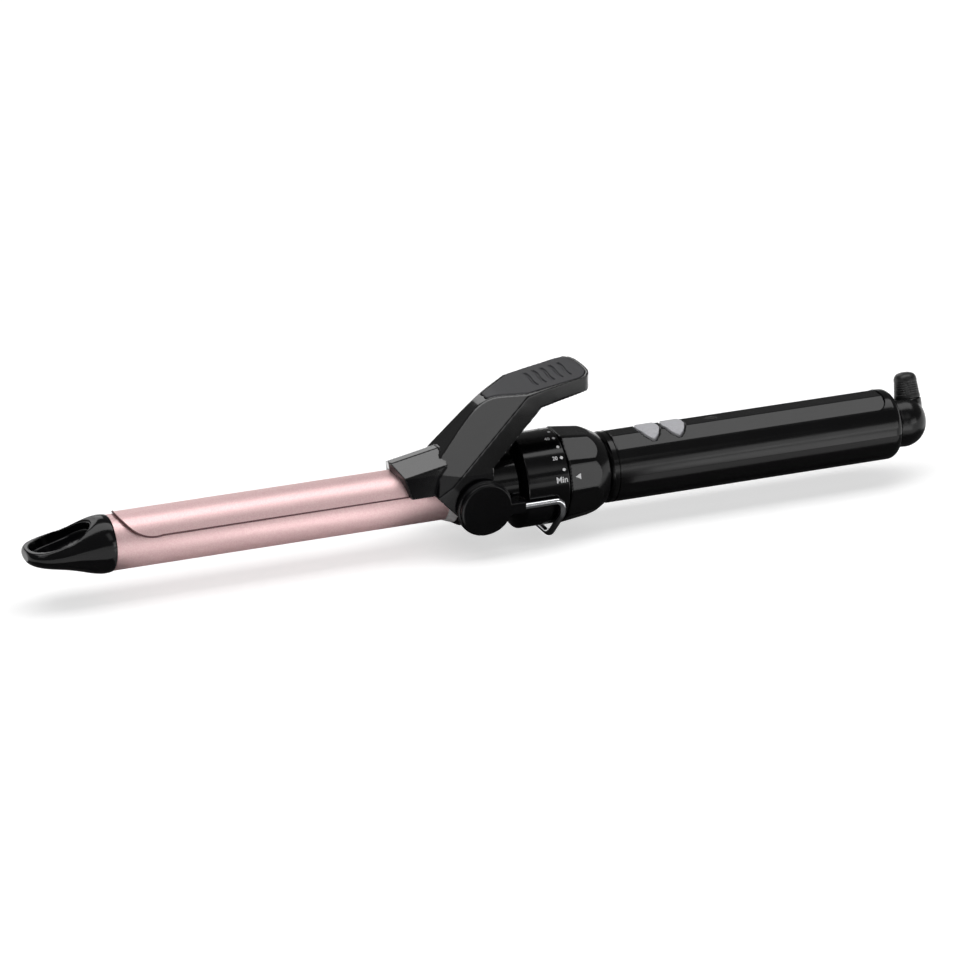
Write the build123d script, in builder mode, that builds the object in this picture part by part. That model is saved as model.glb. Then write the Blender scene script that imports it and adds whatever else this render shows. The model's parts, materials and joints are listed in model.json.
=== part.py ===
# Curling iron with a spring clip, a folding wire stand, a temperature dial and a swivel cord exit.
# Millimetres. +X runs from the cool tip to the cord end, +Z is up (the lever side), and the origin is under
# the middle of the iron, on the surface that the folded stand rests on.
from build123d import *
from math import cos, degrees, radians, sin, sqrt, tan
import os

os.makedirs("parts", exist_ok=True)

# Lengths along the axis, from the tip to the cord end
tip_length = 29.4
barrel_length = 119.0
neck_length = 24.5
scale_length = 17.7
dial_length = 17.2
handle_length = 111.6
swivel_length = 12.5

# Clearances
fixed_gap = 0.1
running_gap = 0.08
sliding_gap = 0.3
seam_gap = 0.3

# Stations along X
overall_length = tip_length + barrel_length + neck_length + scale_length
overall_length += dial_length + handle_length + swivel_length
tip_end = -overall_length / 2
tip_seam = tip_end + tip_length
barrel_end = tip_seam + barrel_length
shoulder = barrel_end + neck_length
dial_front = shoulder + scale_length
handle_front = dial_front + dial_length
handle_end = handle_front + handle_length
swivel_end = handle_end + swivel_length

# Height of the barrel axis over the surface, set by the folded stand's foot
stand_wire_diameter = 2.2
foot_drop = 18.7
axis_height = foot_drop + stand_wire_diameter / 2
iron_axis = Axis((0, 0, axis_height), (1, 0, 0))
side_plane = Plane(origin=(0, 0, axis_height), x_dir=(1, 0, 0), z_dir=(0, -1, 0))
plan_plane = Plane(origin=(0, 0, axis_height))


def cross_plane(x):
    """Plane square to the axis at x, with local x along +Y and local y along +Z."""
    return Plane(origin=(x, 0, axis_height), x_dir=(0, 1, 0), z_dir=(1, 0, 0))


def polar(radius, angle):
    """Point in a cross plane, with the angle in degrees from the top."""
    return (radius * sin(radians(angle)), radius * cos(radians(angle)))


# Pivot of the lever and the stand, across the neck
pivot_setback = 9.9
pivot_drop = 1.2
pivot_x = barrel_end + pivot_setback
pin_diameter = 4.0
pivot_plane = Plane(origin=(pivot_x, 0, axis_height - pivot_drop), x_dir=(1, 0, 0), z_dir=(0, -1, 0))

# Barrel: coated aluminium tube that plugs into the hinge housing
barrel_diameter = 19.0
barrel_wall = 1.0
barrel_insert = 6.5
barrel_radius = barrel_diameter / 2
barrel_bore = barrel_radius - barrel_wall
barrel_back = barrel_end + barrel_insert

with BuildPart() as barrel_tube:
    with BuildSketch(cross_plane(tip_seam)):
        Circle(barrel_radius)
        Circle(barrel_bore, mode=Mode.SUBTRACT)
    extrude(amount=barrel_back - tip_seam)

# Cool tip: round at the seam, thinning to a flat bill with a scooped finger rest on its sloped top
tip_radius = 9.6
tip_bulge = 0.15
tip_straight = 5.0
tip_plug_length = 12.0
bill_sections = ((9.8, 9.4, 6.8), (18.5, 8.8, 4.7), (23.1, 6.2, 3.0), (24.4, 3.4, 1.6))
rest_points = ((6.1, 6.4), (14.5, 3.5))
rest_lead = 3.0
rest_rise = 1.3
rest_end_height = 2.1
floor_rise = 0.1
floor_end_height = -0.2
bill_overrun = 2.0
scoop_length = 21.0
scoop_width = 14.2
scoop_depth = 4.0
scoop_inset = 1.7
tip_slope = tip_seam - tip_straight
slope_radius = tip_radius + tip_bulge
rest_start = tip_slope + rest_lead
bill_limit = tip_end - bill_overrun

# Hollow of the finger rest: an oval pocket whose floor follows the slope
with BuildPart() as scoop:
    with BuildSketch(Plane(origin=(tip_end + scoop_inset + scoop_length / 2, 0, axis_height - tip_radius))):
        Ellipse(scoop_length / 2, scoop_width / 2)
    extrude(amount=3 * tip_radius)
    with BuildSketch(side_plane):
        with BuildLine():
            floor = Spline(
                (rest_start, slope_radius + floor_rise),
                *[(tip_slope - run, height - scoop_depth) for run, height in rest_points],
                (bill_limit, floor_end_height),
            )
            Polyline(floor @ 1, (bill_limit, -2 * tip_radius), (rest_start, -2 * tip_radius), floor @ 0)
        make_face()
    extrude(amount=2 * tip_radius, both=True, mode=Mode.SUBTRACT)

with BuildPart() as cool_tip:
    with BuildSketch(cross_plane(tip_seam)):
        Circle(tip_radius)
    with BuildSketch(cross_plane(tip_slope)):
        Circle(slope_radius)
    for run, half_width, half_depth in bill_sections:
        with BuildSketch(cross_plane(tip_slope - run)):
            Ellipse(half_width, half_depth)
    loft()
    with BuildSketch(side_plane):
        with BuildLine():
            rest_line = Spline(
                (rest_start, slope_radius + rest_rise),
                *[(tip_slope - run, height) for run, height in rest_points],
                (bill_limit, rest_end_height),
            )
            Polyline(rest_line @ 1, (bill_limit, 2 * tip_radius), (rest_start, 2 * tip_radius), rest_line @ 0)
        make_face()
    extrude(amount=2 * tip_radius, both=True, mode=Mode.SUBTRACT)
    add(scoop.part, mode=Mode.SUBTRACT)
    with BuildSketch(cross_plane(tip_seam)):
        Circle(barrel_bore - fixed_gap)
    extrude(amount=tip_plug_length)

# Hinge housing: nose cone, neck with pivot bosses, scale housing, and the spigot for the dial and handle
collar_length = 3.2
neck_front_radius = 10.9
neck_cone_length = 2.6
neck_radius = 12.3
neck_bore = 8.3
shoulder_length = 2.2
scale_radius = 16.4
scale_wall = 2.2
spigot_radius = 10.0
spigot_grip = 9.0
spigot_bore = 8.0
boss_diameter = 12.0
boss_face = 12.5
pin_seat = 8.7
housing_front = barrel_end + collar_length
spigot_end = handle_front + spigot_grip
scale_back = dial_front - seam_gap
housing_outline = [
    (housing_front, neck_front_radius),
    (housing_front + neck_cone_length, neck_radius),
    (shoulder, neck_radius),
    (shoulder + shoulder_length, scale_radius),
]

with BuildPart() as hinge_housing:
    with BuildSketch(side_plane):
        Polygon(
            (housing_front, 0),
            *housing_outline,
            (scale_back, scale_radius),
            (scale_back, spigot_radius),
            (spigot_end, spigot_radius),
            (spigot_end, 0),
            align=None,
        )
    revolve(axis=iron_axis)
    fillet(hinge_housing.edges().filter_by(GeomType.CIRCLE).group_by(SortBy.RADIUS)[-1], 0.5)
    with BuildSketch(pivot_plane):
        Circle(boss_diameter / 2)
    extrude(amount=boss_face, both=True)
    with BuildSketch(side_plane):
        Polygon(
            (housing_front, 0),
            (housing_front, barrel_radius + fixed_gap),
            (barrel_back, barrel_radius + fixed_gap),
            (barrel_back, neck_bore),
            (shoulder + scale_wall, neck_bore),
            (shoulder + shoulder_length + scale_wall, scale_radius - scale_wall),
            (scale_back - scale_wall, scale_radius - scale_wall),
            (scale_back - scale_wall, spigot_bore),
            (spigot_end, spigot_bore),
            (spigot_end, 0),
            align=None,
        )
    revolve(axis=iron_axis, mode=Mode.SUBTRACT)
    with BuildSketch(pivot_plane):
        Circle(pin_diameter / 2)
    extrude(amount=boss_face, both=True, mode=Mode.SUBTRACT)

# Pale collar ring that trims the barrel's end against the housing
with BuildPart() as barrel_collar:
    with BuildSketch(side_plane):
        Polygon(
            (barrel_end, barrel_radius + fixed_gap),
            (barrel_end, barrel_radius + 2 * fixed_gap),
            (housing_front, neck_front_radius),
            (housing_front, barrel_radius + fixed_gap),
            align=None,
        )
    revolve(axis=iron_axis)

# Clip plate: rolled sheet that lies along the top of the barrel, with rounded front corners
clip_thickness = 0.5
clip_gap = 0.15
clip_front_gap = 2.2
clip_overlap = 2.0
clip_edge_height = 3.8
clip_corner_run = 14.0
clip_corner_rake = 2.4
clip_inner = barrel_radius + clip_gap
clip_outer = clip_inner + clip_thickness
clip_front = tip_seam + clip_front_gap
clip_back = barrel_end - clip_overlap
rivet_diameter = 2.4
rivet_inset = 3.0
rivet_pitch = 6.0
rivet_xs = (clip_back - rivet_inset, clip_back - rivet_inset - rivet_pitch)
rivet_depth = 1.8

with BuildPart() as clip_plate:
    with BuildSketch(cross_plane(clip_front)):
        Circle(clip_outer)
        Circle(clip_inner, mode=Mode.SUBTRACT)
    extrude(amount=clip_back - clip_front)
    with BuildSketch(side_plane):
        with BuildLine():
            lip = Line((clip_front, clip_outer), (clip_front + clip_corner_rake, clip_edge_height * 2))
            corner = TangentArc(lip @ 1, (clip_front + clip_corner_run, clip_edge_height), tangent=lip % 1)
            Polyline(
                corner @ 1,
                (clip_back, clip_edge_height),
                (clip_back, 2 * clip_outer),
                (clip_front, 2 * clip_outer),
                lip @ 0,
            )
        make_face()
    extrude(amount=2 * clip_outer, both=True, mode=Mode.INTERSECT)
    for x in rivet_xs:
        with BuildSketch(Plane(origin=(x, 0, axis_height))):
            Circle(rivet_diameter / 2 + fixed_gap)
        extrude(amount=2 * clip_outer, mode=Mode.SUBTRACT)

# Rivets: from flush inside the clip up into the lever's sleeve
rivet_foot = clip_inner + fixed_gap
rivet_top = clip_outer + rivet_depth

with BuildPart() as clip_rivets:
    for x in rivet_xs:
        with BuildSketch(Plane(origin=(x, 0, axis_height + rivet_foot))):
            Circle(rivet_diameter / 2)
        extrude(amount=rivet_top - rivet_foot)

# Lever: a roofed sleeve over the clip, an arm that climbs in a bow to a thumb pad, and two ears on the pivot
clip_opening = 16.0
sleeve_reach = 18.5
sleeve_root = -0.9
sleeve_lead = 2.0
sleeve_slope = 0.19
sleeve_top = 13.6
sleeve_ridge = 1.4
sleeve_corner_width = 9.0
sleeve_corner_drop = 3.65
sleeve_foot_width = 11.6
sleeve_foot_height = 3.5
sleeve_rake = 0.156
sleeve_sweep = 0.222
arm_points = ((-1.6, 15.3), (8.05, 25.7), (16.2, 32.3), (21.7, 34.0))
arm_start_angle = 46.0
pad_angle = 9.5
pad_length = 31.5
pad_thickness = 5.0
pad_half_width = 12.2
pad_corner_radius = 6.0
strip_front_width = 1.9
strip_tail_width = 0.9
strip_angle = 34.0
cheek_knee_run = 10.5
cheek_knee_drop = 6.0
ear_face = 12.75
ear_thickness = 2.85
ear_lean = 7.5
ear_radius = 8.2
ear_toe_angle = 44.0
toe_reach = 15.8
toe_height = 3.4
toe_half_width = 14.0
ear_back_run = 4.7
ear_back_height = 13.0
facet_ridge_half_width = 3.4
facet_corner_run = 9.3
arm_wall = 3.5
channel_half_width = 5.0
pad_dir = Vector(cos(radians(pad_angle)), sin(radians(pad_angle)))
pad_up = Vector(-pad_dir.Y, pad_dir.X)
arm_dir = Vector(cos(radians(arm_start_angle)), sin(radians(arm_start_angle)))
arm_ridge = [Vector(barrel_end + run, height) for run, height in arm_points]
arm_root = arm_ridge[0]
pad_start = arm_ridge[-1]
pad_tail = pad_start + pad_dir * pad_length
pad_tail_under = pad_tail - pad_up * pad_thickness
cheek_knee = pad_start + pad_dir * cheek_knee_run - pad_up * cheek_knee_drop
ear_outer = ear_face + ear_thickness
toe = Vector(pivot_x - toe_reach, toe_height)
ear_toe = (
    pivot_x - ear_radius * sin(radians(ear_toe_angle)),
    -pivot_drop - ear_radius * cos(radians(ear_toe_angle)),
)
ear_back = (pivot_x + ear_back_run, ear_back_height - pivot_drop)
facet_ridge = arm_ridge[1]
facet_corner = pad_start + pad_dir * facet_corner_run
sleeve_front = barrel_end - sleeve_reach


def facet_plane(side):
    """Sloped face of the arm on one side: +1 is the far side, -1 the near side."""
    foot = Vector(toe.X, side * toe_half_width, axis_height + toe.Y)
    ridge = Vector(facet_ridge.X, side * facet_ridge_half_width, axis_height + facet_ridge.Y)
    corner = Vector(facet_corner.X, side * pad_half_width, axis_height + facet_corner.Y)
    return Plane(origin=foot, z_dir=(corner - foot).cross(ridge - foot) * -side)


def strip_plane(side):
    """Bevel strip along the pad's rim on one side, wide at the arm and narrowing to the tail."""
    front = Vector(facet_corner.X, side * (pad_half_width - strip_front_width), axis_height + facet_corner.Y)
    tail = Vector(pad_tail.X, side * (pad_half_width - strip_tail_width), axis_height + pad_tail.Y)
    fall = Vector(0, side, -tan(radians(strip_angle)))
    return Plane(origin=front, z_dir=(tail - front).cross(fall) * side)


def flank_plane(side):
    """Leaning outer face of the ear and arm on one side."""
    lean = Vector(0, side * cos(radians(ear_lean)), sin(radians(ear_lean)))
    return Plane(origin=(pivot_x, side * ear_outer, axis_height), z_dir=lean)


# Room that the fixed housing needs under the lever over its whole swing
swing_overrun = 1.0

with BuildPart() as housing_sweep:
    for share in (0, 0.5, 1):
        turn = radians((clip_opening + swing_overrun) * share)
        swung = Plane(origin=pivot_plane.origin, x_dir=(cos(turn), 0, sin(turn)), z_dir=(0, -1, 0))
        swung_axis = Axis(swung.from_local_coords((0, pivot_drop, 0)), swung.x_dir)
        with BuildSketch(swung):
            Polygon(
                (barrel_end - pivot_x, pivot_drop),
                (barrel_end - pivot_x, pivot_drop + clip_outer + sliding_gap),
                *[(x - pivot_x, pivot_drop + r + sliding_gap) for x, r in housing_outline],
                (scale_back - pivot_x, pivot_drop + scale_radius + sliding_gap),
                (scale_back - pivot_x, pivot_drop),
                align=None,
            )
        revolve(axis=swung_axis)

# Thumb inlay: a soft sheet that wraps from the knee over the pad, kept inside the arm's facets
inlay_plane = Plane(
    origin=(pad_start.X, 0, axis_height + pad_start.Y),
    x_dir=(pad_dir.X, 0, pad_dir.Y),
    z_dir=(pad_up.X, 0, pad_up.Y),
)
inlay_thickness = 1.2
inlay_proud = 0.2
inlay_margin = 0.7
inlay_front = 16.6
inlay_arch = 7.0
inlay_tail_gap = 1.0
inlay_facet_inset = 0.7


def build_inlay(shrink, lift):
    """Inlay body: shrink draws its outline in, lift raises its top face over the pad."""
    front_half = pad_half_width - strip_front_width - inlay_margin - shrink
    tail_half = pad_half_width - strip_tail_width - inlay_margin - shrink
    front = barrel_end + inlay_front + shrink
    tail = pad_tail.X - inlay_tail_gap - shrink
    crest = [point + pad_up * lift for point in arm_ridge]
    floor = [point + pad_up * (inlay_proud - inlay_thickness) for point in arm_ridge]
    reach = pad_dir * pad_length
    with BuildPart() as inlay:
        with BuildSketch(side_plane):
            with BuildLine():
                upper = Spline(*crest, tangents=(arm_dir, pad_dir))
                lower = Spline(*floor, tangents=(arm_dir, pad_dir))
                Polyline(upper @ 1, crest[-1] + reach, floor[-1] + reach, lower @ 1)
                Line(lower @ 0, upper @ 0)
            make_face()
        extrude(amount=pad_half_width, both=True)
        with BuildSketch(plan_plane):
            with BuildLine():
                arch = Spline(
                    (front + inlay_arch, -front_half),
                    (front, 0),
                    (front + inlay_arch, front_half),
                    tangents=((-1, 0), (1, 0)),
                )
                FilletPolyline(
                    arch @ 1,
                    (tail, tail_half),
                    (tail, -tail_half),
                    arch @ 0,
                    radius=pad_corner_radius - inlay_margin,
                )
            make_face()
        extrude(amount=2 * pad_tail.Y, mode=Mode.INTERSECT)
        for side in (-1, 1):
            split(bisect_by=facet_plane(side).offset(-inlay_facet_inset - shrink), keep=Keep.BOTTOM)
    return inlay


inlay_recess = build_inlay(0, inlay_thickness)

# Torsion springs that close the clip, one in a pocket of each ear
spring_wire = 0.8
spring_turns = 2
spring_mean_radius = 3.4
spring_pocket_radius = 4.4
spring_pocket_depth = 1.75
spring_pitch = (spring_pocket_depth + ear_face - boss_face - spring_wire - 2 * fixed_gap) / spring_turns

with BuildPart() as spring_pockets:
    with BuildSketch(pivot_plane.offset(ear_face - fixed_gap)):
        Circle(spring_pocket_radius)
    extrude(amount=spring_pocket_depth + fixed_gap)
    mirror(about=Plane.XZ)

# Sleeve: constant roof section that climbs towards the arm over a level foot
with BuildPart() as lever_sleeve:
    for run in (-sleeve_lead, sleeve_reach + sleeve_root):
        climb = sleeve_slope * run
        with BuildSketch(cross_plane(sleeve_front + run)):
            Polygon(
                (-sleeve_ridge, sleeve_top + climb),
                (sleeve_ridge, sleeve_top + climb),
                (sleeve_corner_width, sleeve_top - sleeve_corner_drop + climb),
                (sleeve_foot_width, sleeve_foot_height),
                (-sleeve_foot_width, sleeve_foot_height),
                (-sleeve_corner_width, sleeve_top - sleeve_corner_drop + climb),
                align=None,
            )
    loft()
    for side in (-1, 1):
        split(
            bisect_by=Plane(
                origin=(sleeve_front, 0, axis_height + sleeve_top),
                z_dir=(-1, side * sleeve_sweep, -sleeve_rake),
            ),
            keep=Keep.BOTTOM,
        )

with BuildPart() as clip_lever:
    with BuildSketch(side_plane):
        with BuildLine():
            ridge = Spline(*arm_ridge, tangents=(arm_dir, pad_dir))
            Polyline(
                ridge @ 1,
                pad_tail,
                pad_tail_under,
                cheek_knee,
                ear_back,
                (pivot_x + ear_radius / 2, -pivot_drop),
                ear_toe,
                toe,
                ridge @ 0,
            )
        make_face()
        with Locations((pivot_x, -pivot_drop)):
            Circle(ear_radius)
    extrude(amount=ear_outer, both=True)
    with BuildSketch(plan_plane):
        with BuildLine():
            edge = Spline(
                (toe.X, toe_half_width),
                (pivot_x, ear_outer),
                (facet_corner.X, pad_half_width),
                tangents=((1, 0.1), (1, 0)),
            )
            FilletPolyline(
                edge @ 1,
                (pad_tail.X, pad_half_width),
                (pad_tail.X, -pad_half_width),
                (facet_corner.X, -pad_half_width),
                radius=pad_corner_radius,
            )
            mirror(edge, about=Plane.XZ)
            Line((toe.X, -toe_half_width), (toe.X, toe_half_width))
        make_face()
    extrude(amount=4 * pad_length, both=True, mode=Mode.INTERSECT)
    for side in (-1, 1):
        split(bisect_by=facet_plane(side), keep=Keep.BOTTOM)
        split(bisect_by=strip_plane(side), keep=Keep.BOTTOM)
        split(bisect_by=flank_plane(side), keep=Keep.BOTTOM)
    add(lever_sleeve.part)
    with BuildSketch(cross_plane(tip_seam)):
        Circle(clip_outer + fixed_gap)
    extrude(amount=barrel_length + collar_length, mode=Mode.SUBTRACT)
    with BuildSketch(side_plane):
        slot_top = sqrt(neck_radius**2 - (neck_radius - arm_wall) ** 2)
        Polygon(
            (barrel_end - collar_length, -2 * scale_radius),
            (barrel_end - collar_length, sleeve_foot_height),
            (barrel_end, slot_top),
            (shoulder, slot_top),
            (shoulder, -2 * scale_radius),
            align=None,
        )
    extrude(amount=ear_face, both=True, mode=Mode.SUBTRACT)
    with BuildSketch(side_plane):
        channel = [point + Vector(arm_dir.Y, -arm_dir.X) * arm_wall for point in arm_ridge[:-1]]
        Polygon(
            *channel,
            cheek_knee,
            (cheek_knee.X, sleeve_top),
            (channel[0].X, 0),
            align=None,
        )
    extrude(amount=channel_half_width, both=True, mode=Mode.SUBTRACT)
    add(housing_sweep.part, mode=Mode.SUBTRACT)
    add(spring_pockets.part, mode=Mode.SUBTRACT)
    with BuildSketch(pivot_plane):
        Circle(pin_diameter / 2 + running_gap)
    extrude(amount=2 * ear_outer, both=True, mode=Mode.SUBTRACT)
    for x in rivet_xs:
        with BuildSketch(Plane(origin=(x, 0, axis_height))):
            Circle(rivet_diameter / 2 + fixed_gap)
        extrude(amount=rivet_top + fixed_gap, mode=Mode.SUBTRACT)
    add(inlay_recess.part, mode=Mode.SUBTRACT)

# The inlay itself, with its cross grooves
groove_count = 5
groove_pitch = 3.1
groove_width = 0.8
groove_depth = 0.5
groove_length = 12.5
groove_first = 12.5
inlay_body = build_inlay(fixed_gap, inlay_proud)

with BuildPart() as thumb_pad:
    add(inlay_body.part)
    with BuildSketch(inlay_plane.offset(inlay_proud - groove_depth)):
        for row in range(groove_count):
            with Locations((groove_first + row * groove_pitch, 0)):
                SlotOverall(groove_length, groove_width, rotation=90)
    extrude(amount=2 * groove_depth, mode=Mode.SUBTRACT)

# Pivot pins: pressed into the housing, with the ears and the stand hubs turning on them
hub_gap = 0.3
hub_thickness = 3.5
hub_radius = 9.85
hub_cap = 0.9
hub_face = ear_outer + hub_gap
hub_outer = hub_face + hub_thickness
pin_reach = hub_outer - hub_cap - running_gap

with BuildPart() as pivot_pins:
    with BuildSketch(pivot_plane.offset(pin_seat)):
        Circle(pin_diameter / 2)
    extrude(amount=pin_reach - pin_seat)
    mirror(about=Plane.XZ)

with BuildPart() as clip_springs:
    with BuildLine() as coil:
        Helix(
            pitch=spring_pitch,
            height=spring_pitch * spring_turns,
            radius=spring_mean_radius,
            center=pivot_plane.offset(boss_face + fixed_gap + spring_wire / 2).origin,
            direction=(0, -1, 0),
        )
    with BuildSketch(Plane(origin=coil.line @ 0, z_dir=coil.line % 0)):
        Circle(spring_wire / 2)
    sweep(path=coil.line, is_frenet=True)
    mirror(about=Plane.XZ)

# Stand hubs: round caps on the pins, each with a short arm that grips the wire
wire_offset = hub_outer - 1.25
wire_drop = 2.2
hub_arm_reach = 14.3
hub_arm_height = 3.9
hub_arm_inner = hub_outer - 2.5
hub_crease_drop = 3.0
hub_crease_depth = 0.9
hub_edge = 0.8
hub_rim_step = 0.55
hub_rim_thickness = 1.5
wire_grip = 8.0
wire_radius = stand_wire_diameter / 2
hub_arm_end = pivot_x + hub_arm_reach
hub_arm_centre = (pivot_x + hub_arm_end) / 2


def build_hub(side):
    """One stand hub: side -1 is the near one, +1 the far one."""
    with BuildPart() as hub:
        with BuildSketch(pivot_plane.offset(-side * hub_face)):
            Circle(hub_radius)
        extrude(amount=-side * hub_rim_thickness)
        with BuildSketch(pivot_plane.offset(-side * hub_face)):
            Circle(hub_radius - hub_rim_step)
        extrude(amount=-side * hub_thickness)
        fillet(hub.edges().group_by(Axis.Y)[0 if side < 0 else -1], hub_edge)
        with BuildSketch(side_plane.offset(-side * hub_arm_inner)):
            with Locations((hub_arm_centre, -wire_drop)):
                Rectangle(hub_arm_end - pivot_x, hub_arm_height)
        extrude(amount=-side * (hub_outer - hub_arm_inner))
        with BuildSketch(Plane(origin=pivot_plane.origin, x_dir=(0, side, 0), z_dir=(side, 0, 0))):
            Polygon(
                (hub_outer, -hub_crease_drop),
                (hub_outer + hub_edge, -hub_crease_drop),
                (hub_outer + hub_edge, -2 * hub_radius),
                (hub_outer - hub_crease_depth, -hub_radius),
                align=None,
            )
        extrude(amount=hub_radius + hub_arm_reach, both=True, mode=Mode.SUBTRACT)
        with BuildSketch(pivot_plane.offset(-side * hub_face)):
            Circle(pin_diameter / 2 + running_gap)
        extrude(amount=-side * (hub_thickness - hub_cap), mode=Mode.SUBTRACT)
        with BuildSketch(Plane.YZ.offset(hub_arm_end)):
            with Locations((side * wire_offset, axis_height - wire_drop)):
                Circle(wire_radius + fixed_gap / 2)
        extrude(amount=-wire_grip - fixed_gap, mode=Mode.SUBTRACT)
    return hub


stand_hub_near = build_hub(-1)
stand_hub_far = build_hub(1)

# Stand wire: one bent chrome wire, from hub to hub under the scale housing
wire_run = 14.0
wire_end_bend = 2.6
wire_side_bend = 4.0
wire_foot_bend = 6.0
foot_half_width = 6.8
flank_drop = 7.0
wire_back = hub_arm_end + wire_run

with BuildPart() as stand_wire:
    with BuildLine() as wire_path:
        leg_z = axis_height - wire_drop
        flank_z = axis_height - flank_drop
        foot_z = axis_height - foot_drop
        FilletPolyline(
            (hub_arm_end - wire_grip, -wire_offset, leg_z),
            (wire_back, -wire_offset, leg_z),
            (wire_back, -wire_offset, flank_z),
            (wire_back, -foot_half_width, foot_z),
            (wire_back, foot_half_width, foot_z),
            (wire_back, wire_offset, flank_z),
            (wire_back, wire_offset, leg_z),
            (hub_arm_end - wire_grip, wire_offset, leg_z),
            radius=[
                wire_end_bend,
                wire_side_bend,
                wire_foot_bend,
                wire_foot_bend,
                wire_side_bend,
                wire_end_bend,
            ],
        )
    with BuildSketch(Plane(origin=wire_path.line @ 0, z_dir=wire_path.line % 0)):
        Circle(wire_radius)
    sweep(path=wire_path.line)

# Temperature dial: hollow collar with ten tilted flats and a rounded shoulder
dial_front_radius = 16.8
dial_mid_radius = 15.5
dial_mid_run = 10.6
dial_shoulder_radius = 13.4
dial_shoulder_run = 14.9
dial_rear_radius = 12.1
dial_flat_depth = 0.6
dial_flats = 10
dial_pointer_angle = 74.0
dial_wall = 2.0
dial_hub_length = 8.0
dial_start = dial_front
dial_stop = handle_front - seam_gap
flat_turn = 360 / dial_flats
flat_lead = flat_turn / 2 + 90 + dial_pointer_angle

with BuildPart() as temperature_dial:
    with BuildSketch(side_plane):
        with BuildLine():
            flank = Line((dial_start, dial_front_radius), (dial_start + dial_mid_run, dial_mid_radius))
            roll = ThreePointArc(
                flank @ 1,
                (dial_start + dial_shoulder_run, dial_shoulder_radius),
                (dial_stop, dial_rear_radius),
            )
            Polyline(
                roll @ 1,
                (dial_stop, spigot_radius + running_gap),
                (dial_stop - dial_hub_length, spigot_radius + running_gap),
                (dial_stop - dial_hub_length, dial_mid_radius - dial_wall),
                (dial_start, dial_front_radius - dial_wall),
                flank @ 0,
            )
        make_face()
    revolve(axis=iron_axis)
    tilt = (dial_front_radius - dial_mid_radius) / dial_mid_run
    for x in (dial_start - dial_length, dial_stop + dial_length):
        flat = dial_front_radius - dial_flat_depth - tilt * (x - dial_start)
        with BuildSketch(cross_plane(x)):
            RegularPolygon(flat, dial_flats, major_radius=False, rotation=flat_lead)
    loft(mode=Mode.INTERSECT)

# Contact board under the dial, and the wiper that the dial carries over it
track_thickness = 1.0
track_radius = 13.6
wiper_thickness = 0.4
wiper_span = 50.0
wiper_arm = 2.2
wiper_foot_diameter = 1.6

with BuildPart() as track_board:
    with BuildSketch(cross_plane(scale_back)):
        Circle(track_radius)
        Circle(spigot_radius + fixed_gap, mode=Mode.SUBTRACT)
    extrude(amount=track_thickness)

wiper_seat = dial_stop - dial_hub_length
track_face = scale_back + track_thickness

with BuildPart() as dial_wiper:
    wiper_radius = (spigot_radius + track_radius) / 2
    with BuildSketch(cross_plane(wiper_seat)):
        Circle(wiper_radius + wiper_arm / 2)
        Circle(wiper_radius - wiper_arm / 2, mode=Mode.SUBTRACT)
        Polygon(
            (0, 0),
            polar(2 * track_radius, -wiper_span / 2),
            polar(2 * track_radius, wiper_span / 2),
            align=None,
            mode=Mode.INTERSECT,
        )
    extrude(amount=-wiper_thickness)
    with BuildSketch(cross_plane(wiper_seat - wiper_thickness)):
        with Locations(polar(wiper_radius, -wiper_span / 3), polar(wiper_radius, wiper_span / 3)):
            Circle(wiper_foot_diameter / 2)
    extrude(amount=-(wiper_seat - wiper_thickness - track_face - fixed_gap))

# Handle: two shells that part at mid height, faceted along the top beside the panel
handle_radius = 12.45
handle_wall = 2.5
handle_chamfer = 1.0
ring_length = 2.6
ring_groove_width = 0.5
ring_groove_depth = 0.35
handle_end_round = 3.5
handle_end_wall = 3.0
panel_ridge_angle = 14.0
panel_edge_angle = 45.0
panel_thickness = 0.9
panel_front_gap = 3.4
panel_end_gap = 5.0
panel_corner_radius = 4.5
bevel_start_angle = 47.0
bevel_end_angle = 59.0
swivel_stem_radius = 6.0
parting_gap = 0.05
handle_cavity = handle_radius - handle_wall
shell_front = handle_front
cavity_end = handle_end - handle_end_wall


def handle_section():
    """Outline of the closed handle: round below, with a flat facet beside the panel on each side above."""
    with BuildSketch() as section:
        with BuildLine():
            near_bevel = Line(polar(handle_radius, bevel_start_angle), polar(handle_radius, bevel_end_angle))
            under = ThreePointArc(
                near_bevel @ 1,
                (0, -handle_radius),
                polar(handle_radius, -bevel_end_angle),
            )
            far_bevel = Line(under @ 1, polar(handle_radius, -bevel_start_angle))
            ThreePointArc(far_bevel @ 1, (0, handle_radius), near_bevel @ 0)
        make_face()
    return section.sketch


def panel_section(grow):
    """Outline of the panel's three facets, wide side out; grow widens it for the recess."""
    top = handle_radius * (1.2 if grow else 1)
    edge = panel_edge_angle + degrees(grow / handle_radius)
    low = handle_radius - panel_thickness - grow
    with BuildSketch() as section:
        Polygon(
            polar(top, -edge),
            polar(top, -panel_ridge_angle),
            polar(top, panel_ridge_angle),
            polar(top, edge),
            polar(low, edge),
            polar(low, panel_ridge_angle),
            polar(low, -panel_ridge_angle),
            polar(low, -edge),
            align=None,
        )
    return section.sketch


def panel_plan(grow):
    """Panel seen from above: square in front, rounded corners at the cord end."""
    front = shell_front + panel_front_gap - grow
    end = handle_end - panel_end_gap + grow
    half = handle_radius * sin(radians(panel_edge_angle)) + 2 * grow
    with BuildSketch() as outline:
        with BuildLine():
            FilletPolyline(
                (front, half),
                (end, half),
                (end, -half),
                (front, -half),
                radius=panel_corner_radius,
            )
            Line((front, -half), (front, half))
        make_face()
    return outline.sketch


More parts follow.
